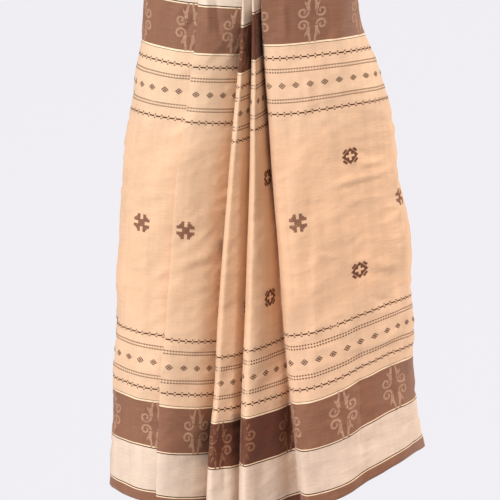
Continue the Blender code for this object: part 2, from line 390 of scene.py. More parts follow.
class WornForm:
    """The oval outlines that the cloth hangs on, at even heights, each in even steps round it."""

    HEIGHTS = np.linspace(-1.0, 0.0, 251)
    POINTS = 1440

    def __init__(self):
        turn = pi + np.linspace(0.0, 2 * pi, self.POINTS + 1)
        across, along = np.cos(turn), np.sin(turn)
        sizes = {c: form_size(c, self.HEIGHTS)[:, None] for c in ("left", "right", "front", "back")}
        half_width = np.where(across < 0, sizes["left"], sizes["right"])
        half_depth = np.where(along < 0, sizes["front"], sizes["back"])
        x = half_width * np.sign(across) * np.abs(across) ** (2 / OVAL_POWER)
        y = half_depth * np.sign(along) * np.abs(along) ** (2 / OVAL_POWER)
        steps = np.hypot(np.diff(x), np.diff(y))
        s = np.concatenate((np.zeros((len(x), 1)), np.cumsum(steps, axis=1)), axis=1)
        self.around = s[:, -1]
        self.right_side = s[:, self.POINTS // 2]
        self.find_folds(x[:, :self.POINTS // 2 + 1], s[:, :self.POINTS // 2 + 1])
        even = np.linspace(0.0, 1.0, self.POINTS + 1)
        self.x = np.array([np.interp(even * a, b, c) for a, b, c in zip(self.around, s, x)])
        self.y = np.array([np.interp(even * a, b, c) for a, b, c in zip(self.around, s, y)])
        step_x, step_y = [np.roll(t[:, :-1], -1, axis=1) - np.roll(t[:, :-1], 1, axis=1)
                          for t in (self.x, self.y)]
        length = np.hypot(step_x, step_y)
        self.normal_x, self.normal_y = [np.concatenate((t, t[:, :1]), axis=1)
                                        for t in (step_y / length, -step_x / length)]

    def find_folds(self, front_x, front_s):
        """Where each fold's edge lies round the form, at each height."""
        self.edges = []
        for fold in FOLDS:
            if fold.column:
                places = form_size(fold.column, self.HEIGHTS)
                edge = np.array([np.interp(p, a, b) for p, a, b in zip(places, front_x, front_s)])
            else:
                edge = self.right_side + fold.across_back * (self.around - self.right_side)
            self.edges.append(edge)
        self.edges[BACK_LEFT] = self.edges[BACK_LEFT] - self.around
        self.widths = np.diff([*self.edges, self.edges[BACK_LEFT] + self.around], axis=0)

    def share_cloth(self, shown):
        """How deep the cloth runs beneath each fold, and its warp, from what each stretch shows."""
        loops = [loop_bend(k, self.HEIGHTS) - loop_reach(k, self.HEIGHTS) for k in range(len(FOLDS))]
        self.warps = [(fold.warp or 0.0) - loop for fold, loop in zip(FOLDS, loops)]
        hides = [np.zeros_like(self.around) for fold in FOLDS]
        hides[SIDE] += SIDE_FOLD_HIDES
        for k in (NARROW, WIDE, RIGHT):
            hides[k] = self.warps[k] - self.warps[k - 1] - shown[k - 1]
        left_over = CLOTH_AROUND - sum(shown) - sum(hides)
        hides[BACK_LEFT] = left_over / 2
        hides[BACK_RIGHT] = left_over / 2
        self.depths = [hidden / 2 for hidden in hides]
        self.warps[BACK_LEFT] = self.warps[SIDE] - hides[SIDE] - shown[BACK_LEFT]
        self.warps[BACK_RIGHT] = self.warps[RIGHT] + shown[RIGHT] + hides[BACK_RIGHT]

    def at(self, z, table):
        """A table of one value for each height, read at heights z."""
        return np.interp(z, self.HEIGHTS, table)

    def edge(self, k, z):
        """A fold's edge, with k counted on round the form in either direction."""
        laps, k = divmod(k, len(FOLDS))
        return self.at(z, self.edges[k]) + laps * self.at(z, self.around)

    def fold(self, k, z):
        """A fold's edge, depth and warp, with k counted on round the form in either direction."""
        edge = self.edge(k, z)
        laps, k = divmod(k, len(FOLDS))
        return edge, self.at(z, self.depths[k]), self.at(z, self.warps[k]) + laps * CLOTH_AROUND

    def read(self, s, z, *tables):
        """Each table at the places s round the form and heights z."""
        last_row = len(self.HEIGHTS) - 1
        row = np.clip((z - self.HEIGHTS[0]) / (self.HEIGHTS[1] - self.HEIGHTS[0]), 0, last_row)
        i = np.minimum(row.astype(int), last_row - 1)
        a = row - i
        column = (s / self.at(z, self.around)) % 1.0 * self.POINTS
        j = np.minimum(column.astype(int), self.POINTS - 1)
        b = column - j
        return [blend(table, i, a, j, j + 1, b) for table in tables]

    def place(self, s, out, z):
        """The points at s round the form, out from it and at height z."""
        x, y, normal_x, normal_y = self.read(s, z, self.x, self.y, self.normal_x, self.normal_y)
        length = np.hypot(normal_x, normal_y)
        return np.stack((x + out * normal_x / length, y + out * normal_y / length, z), axis=-1)


form = WornForm()


def tucks(s, z):
    """How far the cloth dips in before each fold's edge and comes out again beneath the fold."""
    total = np.zeros_like(s)
    for j in range(-1, len(FOLDS) + 1):
        own = FOLDS[j % len(FOLDS)]
        edge = form.edge(j, z)
        run = np.minimum(own.run, LONGEST_RUN * form.at(z, form.widths[(j - 1) % len(FOLDS)]))
        before = eased(1 + (s - edge) / run, own.start)
        after = 1 - smooth((s - edge) / TUCK_ENDS)
        total -= own.tuck * opened(z) * np.where(s < edge, before, after)
    return total


def stand(k, s, z):
    """How far the face of stretch k still stands out from its fold's open loop. A narrow pleat
    falls straight away to the next fold, and a broad face settles first."""
    start = form.edge(k, z) + loop_reach(k, z)
    room = form.edge(k + 1, z) - start
    t = (s - start) / np.minimum(FOLDS[k % len(FOLDS)].settles, room)
    narrow = smooth((BROAD_FACE - room) / BROADENS_OVER)
    settled = narrow * eased(t, NARROW_FALL) + (1 - narrow) * smooth(t)
    return (loop_height(k, z) - layer(z)) * (1 - settled)


def shown_lengths():
    """The length of cloth in each stretch from its fold's edge to the next, at each height. The
    faces hang under their own weight and give a little."""
    z = form.HEIGHTS[:, None]
    lengths = []
    for k in range(len(FOLDS)):
        start = form.edge(k, z) + loop_reach(k, z)
        s = start + (form.edge(k + 1, z) - start) * np.linspace(0.0, 1.0, SAMPLES_IN_FACE)
        out = tucks(s, z) + stand(k, s, z)
        face = np.hypot(np.diff(s, axis=1), np.diff(out, axis=1)).sum(axis=1)
        lengths.append(face / CLOTH_GIVES + loop_bend(k, form.HEIGHTS))
    return lengths


form.share_cloth(shown_lengths())


def layers_beneath(s, z, k):
    """How many layers the folds up to k put beneath the cloth at s, easing off after each."""
    count = np.zeros_like(s)
    for j in range(k - 4, k + 1):
        edge, depth, warp = form.fold(j, z)
        count += 2 * (1 - smooth((s - edge - depth - WALL) / SINK))
    return count


def creases(s, z):
    """The sum of the creases at each place."""
    x, y = form.read(s, z, form.x, form.y)
    total = np.zeros_like(s)
    for crease in CREASES:
        run = np.array((crease.x1 - crease.x0, crease.z1 - crease.z0))
        length = np.hypot(*run)
        t = ((x - crease.x0) * run[0] + (z - crease.z0) * run[1]) / length ** 2
        off = ((x - crease.x0) * run[1] - (z - crease.z0) * run[0]) / length / crease.width
        fades = smooth(3 * t) * smooth(3 * (1 - t)) * (y * crease.side > 0)
        total += crease.height * fades * np.exp(-off ** 2)
    return total


def rumples(s, z):
    """The sum of the rumples at each place, from nothing at the waist to their height below it."""
    total = np.zeros_like(s)
    for rumple in RUMPLES:
        draws = np.random.default_rng(rumple.around)
        heights = draws.uniform(-1.0, 1.0, (rumple.down + 2, rumple.around))
        row = np.clip(-z, 0.0, 1.0) * rumple.down
        column = (s / form.at(z, form.around) * rumple.around + RUMPLE_LEAN * row) % rumple.around
        i, j = row.astype(int), column.astype(int)
        a, b = smooth(row - i), smooth(column - j)
        here, after = j % rumple.around, (j + 1) % rumple.around
        swelling = blend(heights, i, a, here, after, b)
        fold_line = FOLD_LINE_TOP - FOLD_LINE_SLOPE * np.abs(swelling)
        total += rumple.height * (swelling + (fold_line - swelling) * rumple.crisp)
    return total * smooth((-z - RUMPLES_FROM) / RUMPLES_OVER)


def relief(s, z):
    """How far the cloth stands off its plain form, the same for every layer at a place."""
    total = tucks(s, z) + creases(s, z) + rumples(s, z)
    share = WAVES_AT_WAIST + (1 - WAVES_AT_WAIST) * hang_share(z)
    for wave in WAVES:
        phase = 2 * pi * (s / wave.around + z / wave.down) + wave.start
        total += wave.height * share * np.sin(phase)
    return total


def lift(k, part, t):
    """The hitch at the hem and at the top, t along one part of stretch k."""
    hitches = []
    for level, table in enumerate(HITCHES):
        here, there = table[k], table[(k + 1) % len(FOLDS)]
        ends = {
            "return": (here.turn, here.edge),
            "edge": (here.edge, here.edge),
            "face": (here.edge, there.under),
            "under": (there.under, there.turn),
            "turn": (there.turn, there.turn),
        }[part]
        hitch = ends[0] + (ends[1] - ends[0]) * t
        if part == "face" and k in HITCH_AT_SIDE:
            hitch = hitch + (HITCH_AT_SIDE[k][level] - hitch) * np.sin(pi * t) ** 2
        hitches.append(hitch)
    return hitches


def part_of_stretch(k, part, steps):
    """One part of stretch k: its points, row by row from the hem, and their places in the cloth."""
    t = np.arange(steps + (part == "turn")) / steps
    hem_lift, top_lift = lift(k, part, t)
    hem_z = -(HANG - hem_lift)
    z = hem_z * (1 - np.arange(SHEET_ROWS + 1)[:, None] / SHEET_ROWS)
    radius = layer(z) / 2
    turn_bend = pi * radius / 2
    edge_bend = loop_bend(k, z)
    edge_reach = loop_reach(k, z)
    edge, depth, warp = form.fold(k, z)
    next_edge, next_depth, next_warp = form.fold(k + 1, z)
    if part == "return":
        start, end = edge + depth - radius - SEAM_GAP, edge + edge_reach
        s = start + (end - start) * t
        out = (layers_beneath(s, z, k - 1) + 1) * layer(z)
        u = warp - depth + turn_bend + (depth - turn_bend - edge_bend) * t
    elif part == "edge":
        s = edge + edge_reach * (1 - np.sin(pi * t))
        rise = 0.5 - 0.5 * np.cos(pi * t)
        out = (layers_beneath(s, z, k - 1) + 1) * layer(z) + loop_height(k, z) * rise
        u = warp + edge_bend * (2 * loop_share(t) - 1)
    elif part == "face":
        start = edge + edge_reach
        s = start + (next_edge - start) * t
        out = layers_beneath(s, z, k) * layer(z) + stand(k, s, z)
        rise = np.gradient(tucks(s, z) + stand(k, s, z), axis=1)
        lengths = np.hypot(np.gradient(s, axis=1), rise)
        share = (np.cumsum(lengths, axis=1) - lengths) / lengths.sum(axis=1, keepdims=True)
        u = warp + edge_bend + (next_warp - 2 * next_depth - warp - edge_bend) * share
    elif part == "under":
        s = next_edge + (next_depth - radius) * t
        out = layers_beneath(s, z, k) * layer(z)
        u = next_warp - 2 * next_depth + (next_depth - turn_bend) * t
    else:
        s = next_edge + next_depth - radius * (1 - np.sin(pi * t))
        out = (layers_beneath(s, z, k) + 0.5 - 0.5 * np.cos(pi * t)) * layer(z)
        u = next_warp - next_depth + turn_bend * (2 * t - 1)
    points = form.place(s, out + relief(s, z), z)
    settled = np.clip((z - hem_z) / (HITCH_SETTLES - hem_z), 0.0, 1.0)
    v = HANG + z - (hem_lift + (top_lift - hem_lift) * settled)
    return points, np.stack((u, v), axis=-1)


def grid_mesh(name, points, places, closed=False):
    """A smooth mesh of rows of points, with the places in the flat cloth as its UV map."""
    rows, across = points.shape[:2]
    corner = np.arange(rows * across).reshape(rows, across)
    after = np.roll(corner, -1, axis=1) if closed else corner[:, 1:]
    here = corner if closed else corner[:, :-1]
    faces = np.stack((here[:-1], after[:-1], after[1:], here[1:]), axis=-1).reshape(-1, 4)
    mesh = bpy.data.meshes.new(name)
    mesh.from_pydata(points.reshape(-1, 3).tolist(), [], faces.tolist())
    loops = places.reshape(-1, 2)[faces.reshape(-1)]
    mesh.uv_layers.new(name="UVMap").data.foreach_set("uv", loops.astype(np.float32).ravel())
    mesh.shade_smooth()
    return mesh


def add_object(name, mesh):
    """The mesh as an object of the scene, at the origin."""
    piece = bpy.data.objects.new(name, mesh)
    scene.collection.objects.link(piece)
    return piece


def thicken(piece, thickness, even=False):
    """Gives an open mesh its thickness, half of it to each side."""
    wall = piece.modifiers.new("wall", "SOLIDIFY")
    wall.thickness = thickness
    wall.offset = 0.0
    wall.use_even_offset = even


def finished(piece, name):
    """The piece with its modifiers worked into a plain mesh, under its final name."""
    depsgraph = bpy.context.evaluated_depsgraph_get()
    mesh = bpy.data.meshes.new_from_object(piece.evaluated_get(depsgraph))
    mesh.name = name
    bpy.data.objects.remove(piece, do_unlink=True)
    return add_object(name, mesh)


# The weave's colours from a selvedge inwards, in metres: the same bands run along both selvedges
Band = namedtuple("Band", "start colour unevenness")
BROWN, DARK, PALE, CREAM, PEACH = "#84573d", "#401b06", "#f3d4ac", "#d8bfa7", "#ddb692"
BANDS = [
    Band(0.0000, BROWN, 1.00),
    Band(0.0180, PALE, 0.10),
    Band(0.0203, DARK, 0.30),
    Band(0.0220, CREAM, 0.45),
    Band(0.0982, DARK, 0.30),
    Band(0.0999, PALE, 0.10),
    Band(0.1022, BROWN, 1.00),
    Band(0.1823, PALE, 0.10),
    Band(0.1846, DARK, 0.30),
    Band(0.1863, PEACH, 0.35),
]
PATTERN_HEIGHT = 0.9925
RAMP_REACH = 0.25

# How the colour varies, as factors on red, green and blue: painted light makes it paler by up to so
# much in a wave once round the tube and towards the waist, the dye is a shade deeper in the field
# than near the borders, and painted shade darkens the brown in the pleats, where the least light falls
PAINTED_LIGHT_BY = (0.0, 0.025, 0.035)
MOST_LIT_U = 0.12
PAINTED_LIGHT_AT_HEM, PAINTED_LIGHT_AT_WAIST = (1.0, 0.985, 0.98), (1.02, 1.05, 1.06)
FIELD_SHADE = (0.99, 0.965, 0.93)
BORDER_SHADE = (1.01, 1.04, 1.065)
SHADE_STARTS, SHADE_ENDS = 0.27, 0.37
RISE_STARTS, RISE_ENDS = 0.2, 0.9
BROWN_PAINTED_SHADE = (0.48, 0.27, 0.15)
PAINTED_SHADE_U = ((0.40, 0.46), (0.84, 0.90))
PLAIN = (1.0, 1.0, 1.0)

# Only the brown bands are more uneven than this
UNEVEN_AS_BROWN = 0.9

# The unevenness of the cloth, as noise drawn out into streaks: so many a metre round the tube and
# down it, where it starts, how much it varies the brightness, and how high it stands in metres.
# Weft threads lie round the tube and warp threads down it. Real ones are 0.4 mm apart, too fine to
# show, so these are drawn about 1.2 mm thick.
Streaks = namedtuple("Streaks", "around down start varies stands")
WEFT = Streaks(38.0, 820.0, 3.0, 0.75, 0.00022)
WARP = Streaks(760.0, 16.0, 11.0, 0.30, 0.00016)
BLOTCHES = Streaks(17.0, 11.0, 5.0, 0.30, 0.0)
WASHED_LINES = Streaks(70.0, 4.0, 17.0, 0.22, 0.0)
CRUMPLE = Streaks(42.0, 90.0, 7.0, 0.0, 0.0017)


def sharp_bands(tree, share, colours):
    """One colour for each band, with sharp edges between them, at a share of the ramp's reach."""
    node = tree.nodes.new("ShaderNodeValToRGB")
    tree.links.new(share, node.inputs["Fac"])
    node.color_ramp.interpolation = "CONSTANT"
    stops = node.color_ramp.elements
    while len(stops) > 1:
        stops.remove(stops[-1])
    stops[0].position = 0.0
    stops[0].color = colours[0]
    for band, colour in zip(BANDS[1:], colours[1:]):
        stops.new(band.start / RAMP_REACH).color = colour
    return node.outputs["Color"]


def noise_of(tree, places, streaks):
    """The noise of one kind of streaks, from 0 to 1 and about a half on the whole."""
    scale, start = (streaks.around, streaks.down, 1.0), (streaks.start,) * 3
    mapped = add(tree, "ShaderNodeMapping", {"Vector": places, "Scale": scale, "Location": start})[0]
    return add(tree, "ShaderNodeTexNoise", {"Vector": mapped, "Scale": 1.0, "Detail": 2.0,
                                            "Roughness": 0.6})["Fac"]


def value_math(tree, operation, *values):
    """The result of one sum on values or links."""
    return add(tree, "ShaderNodeMath", dict(enumerate(values)), operation=operation)[0]


def swing(tree, noise, streaks):
    """How far a noise takes the brightness up or down."""
    return value_math(tree, "MULTIPLY", value_math(tree, "SUBTRACT", noise, 0.5), streaks.varies)


def eased_between(tree, value, start, end, low, high):
    """A vector that eases from low to high as a value runs from start to end."""
    share = add(tree, "ShaderNodeMapRange", {"Value": value, "From Min": start, "From Max": end},
                interpolation_type="SMOOTHSTEP")[0]
    return add(tree, "ShaderNodeMix", {0: share, 4: low, 5: high}, data_type="VECTOR")[1]


def times(tree, vector, factor):
    """A colour or vector times another, or times a value."""
    return add(tree, "ShaderNodeVectorMath", {0: vector, 1: factor}, operation="MULTIPLY")[0]


def painted_pleat_shade(tree, around, factor):
    """Painted shade: a factor on the colour where the cloth lies in the two front pleats, and 1
    elsewhere.
    """
    started = eased_between(tree, around, *PAINTED_SHADE_U[0], PLAIN, factor)
    return eased_between(tree, around, *PAINTED_SHADE_U[1], started, PLAIN)


def cotton_material(name, roughness, specular):
    """A new material, its node tree, its shader and the places in the flat cloth."""
    material = bpy.data.materials.new(name)
    material.use_nodes = True
    tree = material.node_tree
    shader = tree.nodes["Principled BSDF"]
    shader.inputs["Roughness"].default_value = roughness
    shader.inputs["Specular IOR Level"].default_value = specular
    return material, tree, shader, add(tree, "ShaderNodeUVMap", uv_map="UVMap")[0]


def woven_cotton(name):
    """Plain-woven cotton with bands of dyed weft: nearly matt, with the soft lustre of combed
    thread, its threads uneven."""
    material, tree, shader, places = cotton_material(name, roughness=0.72, specular=0.45)
    shader.inputs["Sheen Weight"].default_value = 0.15
    shader.inputs["Sheen Roughness"].default_value = 0.45
    place = add(tree, "ShaderNodeSeparateXYZ", {"Vector": places})
    around, height = place["X"], place["Y"]
    middle = PATTERN_HEIGHT / 2
    from_middle = value_math(tree, "ABSOLUTE", value_math(tree, "SUBTRACT", height, middle))
    inwards = value_math(tree, "SUBTRACT", middle, from_middle)
    share = value_math(tree, "DIVIDE", inwards, RAMP_REACH)
    bands = sharp_bands(tree, share, [linear(band.colour) for band in BANDS])
    uneven = sharp_bands(tree, share, [(band.unevenness,) * 3 + (1.0,) for band in BANDS])
    # Painted light: the colour is paler in a wave once round the tube, most at the front left
    turn = value_math(tree, "MULTIPLY", value_math(tree, "SUBTRACT", around, MOST_LIT_U),
                      2 * pi / CLOTH_AROUND)
    painted_side_light = add(tree, "ShaderNodeVectorMath", {0: value_math(tree, "COSINE", turn), 1: PAINTED_LIGHT_BY,
                                               2: PLAIN}, operation="MULTIPLY_ADD")[0]
    zone = eased_between(tree, inwards, SHADE_STARTS, SHADE_ENDS, BORDER_SHADE, FIELD_SHADE)
    # Painted shade: the brown is darker where the cloth lies in the two front pleats
    pleat_shade = painted_pleat_shade(tree, around, BROWN_PAINTED_SHADE)
    is_brown = value_math(tree, "GREATER_THAN", uneven, UNEVEN_AS_BROWN)
    brown_painted_shade = eased_between(tree, is_brown, 0.0, 1.0, PLAIN, pleat_shade)
    # Painted light: the colour is paler towards the waist
    up = eased_between(tree, height, RISE_STARTS, RISE_ENDS, PAINTED_LIGHT_AT_HEM, PAINTED_LIGHT_AT_WAIST)
    # The dye's own paler border ground, times the painted light and painted shade above
    dye_and_painted_light = times(tree, times(tree, painted_side_light, zone), times(tree, up, brown_painted_shade))
    weft, warp, blotches, washed_lines, crumple = [
        noise_of(tree, places, streaks) for streaks in (WEFT, WARP, BLOTCHES, WASHED_LINES, CRUMPLE)]
    woven = value_math(tree, "ADD", swing(tree, weft, WEFT), swing(tree, warp, WARP))
    scaled = value_math(tree, "MULTIPLY", woven, uneven)
    washed = value_math(tree, "ADD", swing(tree, blotches, BLOTCHES),
                        swing(tree, washed_lines, WASHED_LINES))
    brightness = value_math(tree, "ADD", value_math(tree, "ADD", scaled, washed), 1.0)
    varied = times(tree, times(tree, bands, dye_and_painted_light), brightness)
    tree.links.new(varied, shader.inputs["Base Color"])
    surface = 0.0
    for noise, streaks in ((weft, WEFT), (warp, WARP), (crumple, CRUMPLE)):
        surface = value_math(tree, "MULTIPLY_ADD", noise, streaks.stands, surface)
    bump = add(tree, "ShaderNodeBump", {"Height": surface, "Strength": 1.0, "Distance": 1.0})[0]
    tree.links.new(bump, shader.inputs["Normal"])
    return material


cotton = woven_cotton("woven_cotton")
grids = []
for k, stretch in enumerate(STRETCHES):
    parts = [
        part_of_stretch(k, "return", stretch.return_steps),
        part_of_stretch(k, "edge", EDGE_STEPS),
        part_of_stretch(k, "face", stretch.face_steps),
        part_of_stretch(k, "under", stretch.under_steps),
        part_of_stretch(k, "turn", TURN_STEPS),
    ]
    points = np.concatenate([p for p, places in parts], axis=1)
    places = np.concatenate([places for p, places in parts], axis=1)
    grids.append((points, places))
    sheet = add_object("open_sheet", grid_mesh(stretch.name, points, places))
    sheet.data.materials.append(cotton)
    thicken(sheet, SHEET_THICKNESS, even=True)
    sheet = finished(sheet, stretch.name + "_cloth")
    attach(sheet, "root")
    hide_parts(stretch.name)


# The rolled waist
# The top edge of the same cloth, turned over outwards and rolled on itself so that it grips. The
# roll is a strip of cloth wound one and a half turns, gathered into small slanting creases.
ROLL_STEPS = 360
ROLL_STEPS_ALONG = 5
ROLL_CLEARANCE = 0.0012
LIP_HEIGHT = 0.0012
LIP_STEPS = 4
LIP_STARTS, LIP_ENDS = -0.010, -0.002

# The roll's section: how far out from the wall and how high each point lies, in millimetres
ROLL_TURN = [
    (0.0, 1.6),
    (2.2, 2.2),
    (6.2, -0.8),
    (8.8, -8.0),
    (9.6, -17.5),
    (8.8, -26.8),
    (6.4, -33.0),
    (2.7, -34.5),
    (0.6, -31.0),
    (0.6, -18.0),
    (1.8, -7.0),
    (4.5, -4.2),
    (6.6, -8.5),
    (7.1, -17.5),
    (6.2, -26.0),
]

# The roll's creases: how many go round, how far each slants, how high they and the roll's own sway
# are, and where along the winding they fade in and out
ROLL_CREASES_AROUND = 31
ROLL_CREASE_SLANT = 95
ROLL_CREASE_HEIGHT = 0.00055
ROLL_SWAY = 0.0009
CREASES_START_OVER = 0.012
CREASES_END, CREASES_END_OVER = 0.060, 0.015


def outermost(s):
    """The number of layers beneath the outermost cloth at the waist, eased round each fold."""
    z = np.zeros_like(s)
    count = np.zeros_like(s)
    for j in range(-2, len(FOLDS) + 1):
        edge, depth, warp = form.fold(j, z)
        off = np.maximum(edge - WALL - s, s - edge - depth - WALL)
        count += 2 * (1 - smooth(off / SINK))
    return count


def smooth_path(points, steps):
    """A smooth curve through the points, with so many steps between each two."""
    points = np.array(points, float)
    padded = np.concatenate((2 * points[:1] - points[1:2], points, 2 * points[-1:] - points[-2:-1]))
    t = np.linspace(0.0, 1.0, steps, endpoint=False)[:, None]
    runs = []
    for a, b, c, d in zip(padded, padded[1:], padded[2:], padded[3:]):
        runs.append(0.5 * (2 * b + (c - a) * t + (2 * a - 5 * b + 4 * c - d) * t ** 2
                           + (3 * b - a - 3 * c + d) * t ** 3))
    return np.concatenate([*runs, points[-1:]])


around_waist = float(form.around[-1])
s = np.arange(ROLL_STEPS) / ROLL_STEPS * around_waist
wall_face = outermost(s) * LAYER_AT_WAIST + WALL / 2 + ROLL_CLEARANCE
section = smooth_path(ROLL_TURN, ROLL_STEPS_ALONG) * MM
down = np.concatenate(([0.0], np.cumsum(np.hypot(*np.diff(section, axis=0).T))))
lip = np.linspace(0.0, 1.0, LIP_STEPS, endpoint=False)
out = np.concatenate((-WALL / 2 + (wall_face + WALL / 2) * lip[:, None],
                      wall_face + section[:, :1]))
height = np.concatenate((np.full((LIP_STEPS, 1), LIP_HEIGHT), section[:, 1:]))
wound = np.concatenate((np.linspace(LIP_STARTS, LIP_ENDS, LIP_STEPS), down))[:, None]
gripped = smooth(wound / CREASES_START_OVER) * smooth((CREASES_END - wound) / CREASES_END_OVER)
# Waves of unlike lengths are added up, so that no two creases are alike
slant = s / around_waist * ROLL_CREASES_AROUND * 2 * pi + wound * ROLL_CREASE_SLANT
ripple = np.sin(slant + 0.8 * np.sin(s * 41.0)) + 0.6 * np.sin(0.37 * slant + s * 23.0 + 1.0)
out = out + ROLL_CREASE_HEIGHT * gripped * ripple
height = height + ROLL_SWAY * gripped * np.sin(s * 19.0 + 0.5 * np.sin(s * 37.0))
points = form.place(s + 0 * out, out, np.minimum(height, 0.0))
points[..., 2] = height
places = np.stack((s / around_waist * CLOTH_AROUND + 0 * out, 1.0 + wound + 0 * out), axis=-1)
roll_mesh = grid_mesh("waist_roll", points[::-1], places[::-1], closed=True)
roll = add_object("open_roll", roll_mesh)
roll_mesh.materials.append(cotton)
thicken(roll, SHEET_THICKNESS)
roll = finished(roll, "rolled_waist")
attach(roll, "root")
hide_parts("waist_roll")


# The woven figures
# The brown and pale figures of the weave: barbed lines, dots, diamonds, crosses, stars and scrolls.
# Each is a flat mesh a little thicker than the cloth, so that it shows on both sides. Geometry
# Nodes set it out in rows on the flat cloth and then lay the rows on the hanging cloth by its map.
FIGURE_STANDS = 0.00014
FIELD_EDGE = 0.1845
SCROLL_PITCH = 0.100
DIAMOND_PITCH = 0.025
DIAMOND_BEFORE_SCROLL = 0.0075
FIRST_U, LAST_U = -0.45, 1.90
ONE_BY_ONE = 3.0
DYED_WEFT = Streaks(60.0, 820.0, 9.0, 0.0, 0.0)


def rows_at(*heights):
    """The heights of rows and of their mirror images along the other selvedge."""
    return [*heights, *[PATTERN_HEIGHT - height for height in heights]]


def starts(phase, pitch, heights):
    """Where each row starts: the first place past the cloth's left end that is in phase."""
    first = phase + ceil((FIRST_U - phase) / pitch) * pitch
    return [(first, height) for height in heights]


def flat_figure(name, polygons):
    """A flat mesh of polygons given in millimetres, with the corners that they share merged."""
    corners = {}
    faces = []
    for polygon in polygons:
        faces.append([corners.setdefault((round(x, 4), round(y, 4)), len(corners)) for x, y in polygon])
    mesh = bpy.data.meshes.new(name)
    mesh.from_pydata([(x * MM, y * MM, 0.0) for x, y in corners], [], faces)
    return mesh


def boxes(middle_x, middle_y, width, height, parts=1):
    """A rectangle as a row of so many polygons."""
    left, step = middle_x - width / 2, width / parts
    low, high = middle_y - height / 2, middle_y + height / 2
    return [[(left + i * step, low), (left + (i + 1) * step, low),
             (left + (i + 1) * step, high), (left + i * step, high)] for i in range(parts)]


def cells(size, reach, dark):
    """The squares of a chart, so many millimetres wide, at which a rule says that it is dark."""
    count = ceil(reach / size)
    middles = [i * size for i in range(-count, count + 1)]
    return [boxes(x, y, size, size)[0] for x in middles for y in middles if dark(abs(x), abs(y))]


def woven_rows():
    """The Geometry Nodes tree that sets figures out in rows and lays them on the hanging cloth."""
    tree = bpy.data.node_groups.new("woven_rows", "GeometryNodeTree")
    tree.interface.new_socket("Geometry", in_out="OUTPUT", socket_type="NodeSocketGeometry")
    for name, kind in (("Figure", "NodeSocketGeometry"), ("Row Starts", "NodeSocketObject"),
                       ("Cloth", "NodeSocketObject"), ("Pitch", "NodeSocketFloat"),
                       ("Count", "NodeSocketInt"), ("Thread", "NodeSocketMaterial")):
        tree.interface.new_socket(name, in_out="INPUT", socket_type=kind)
    given = add(tree, "NodeGroupInput")
    first = add(tree, "GeometryNodeObjectInfo", {"Object": given["Row Starts"]})["Geometry"]
    step = add(tree, "ShaderNodeCombineXYZ", {"X": given["Pitch"]})[0]
    row = add(tree, "GeometryNodeMeshLine", {"Count": given["Count"], "Offset": step})[0]
    rows = add(tree, "GeometryNodeInstanceOnPoints", {"Points": first, "Instance": row})[0]
    spots = add(tree, "GeometryNodeRealizeInstances", {"Geometry": rows})[0]
    figures = add(tree, "GeometryNodeInstanceOnPoints",
                  {"Points": spots, "Instance": given["Figure"]})[0]
    flat = add(tree, "GeometryNodeRealizeInstances", {"Geometry": figures})[0]
    place = add(tree, "GeometryNodeInputPosition")[0]
    mapped = add(tree, "GeometryNodeStoreNamedAttribute",
                 {"Geometry": flat, "Name": "UVMap", "Value": place},
                 data_type="FLOAT2", domain="CORNER")[0]
    cloth = add(tree, "GeometryNodeObjectInfo", {"Object": given["Cloth"]})["Geometry"]
    cloth_map = add(tree, "GeometryNodeInputNamedAttribute", {"Name": "UVMap"},
                    data_type="FLOAT_VECTOR")["Attribute"]
    points, normals = [
        add(tree, "GeometryNodeSampleUVSurface",
            {"Mesh": cloth, "Value": add(tree, field)[0], "UV Map": cloth_map, "Sample UV": place},
            data_type="FLOAT_VECTOR")
        for field in ("GeometryNodeInputPosition", "GeometryNodeInputNormal")]
    off_cloth = add(tree, "FunctionNodeBooleanMath", {0: points["Is Valid"]}, operation="NOT")[0]
    kept = add(tree, "GeometryNodeDeleteGeometry", {"Geometry": mapped, "Selection": off_cloth},
               domain="POINT")[0]
    height = add(tree, "ShaderNodeSeparateXYZ", {"Vector": place})["Z"]
    out = add(tree, "ShaderNodeVectorMath", {0: normals["Value"]}, operation="NORMALIZE")[0]
    raised = add(tree, "ShaderNodeVectorMath", {"Vector": out, "Scale": height},
                 operation="SCALE")[0]
    laid = add(tree, "ShaderNodeVectorMath", {0: points["Value"], 1: raised}, operation="ADD")[0]
    on_cloth = add(tree, "GeometryNodeSetPosition", {"Geometry": kept, "Position": laid})[0]
    dyed = add(tree, "GeometryNodeSetMaterial",
               {"Geometry": on_cloth, "Material": given["Thread"]})[0]
    add(tree, "NodeGroupOutput", {"Geometry": dyed})
    return tree


def woven_figures(name, mesh, row_starts, pitch, material, stands=FIGURE_STANDS):
    """A piece of the scene: one figure, repeated along rows that start at the places given. A pitch
    longer than the cloth leaves one figure at each place."""
    rows_mesh = bpy.data.meshes.new(name + "_rows")
    rows_mesh.from_pydata([(u, v, 0.0) for u, v in row_starts], [], [])
    rows = add_object(name + "_rows", rows_mesh)
    piece = add_object("flat_" + name, mesh)
    thicken(piece, SHEET_THICKNESS + 2 * stands)
    laying = piece.modifiers.new("rows", "NODES")
    laying.node_group = row_tree
    values = {"Row Starts": rows, "Cloth": whole_cloth, "Pitch": pitch, "Thread": material,
              "Count": max(1, floor((LAST_U - row_starts[0][0]) / pitch))}
    for socket in row_tree.interface.items_tree:
        if socket.in_out == "INPUT" and socket.name in values:
            laying[socket.identifier] = values[socket.name]
    piece = finished(piece, name)
    bpy.data.objects.remove(rows, do_unlink=True)
    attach(piece, "root")
    return piece


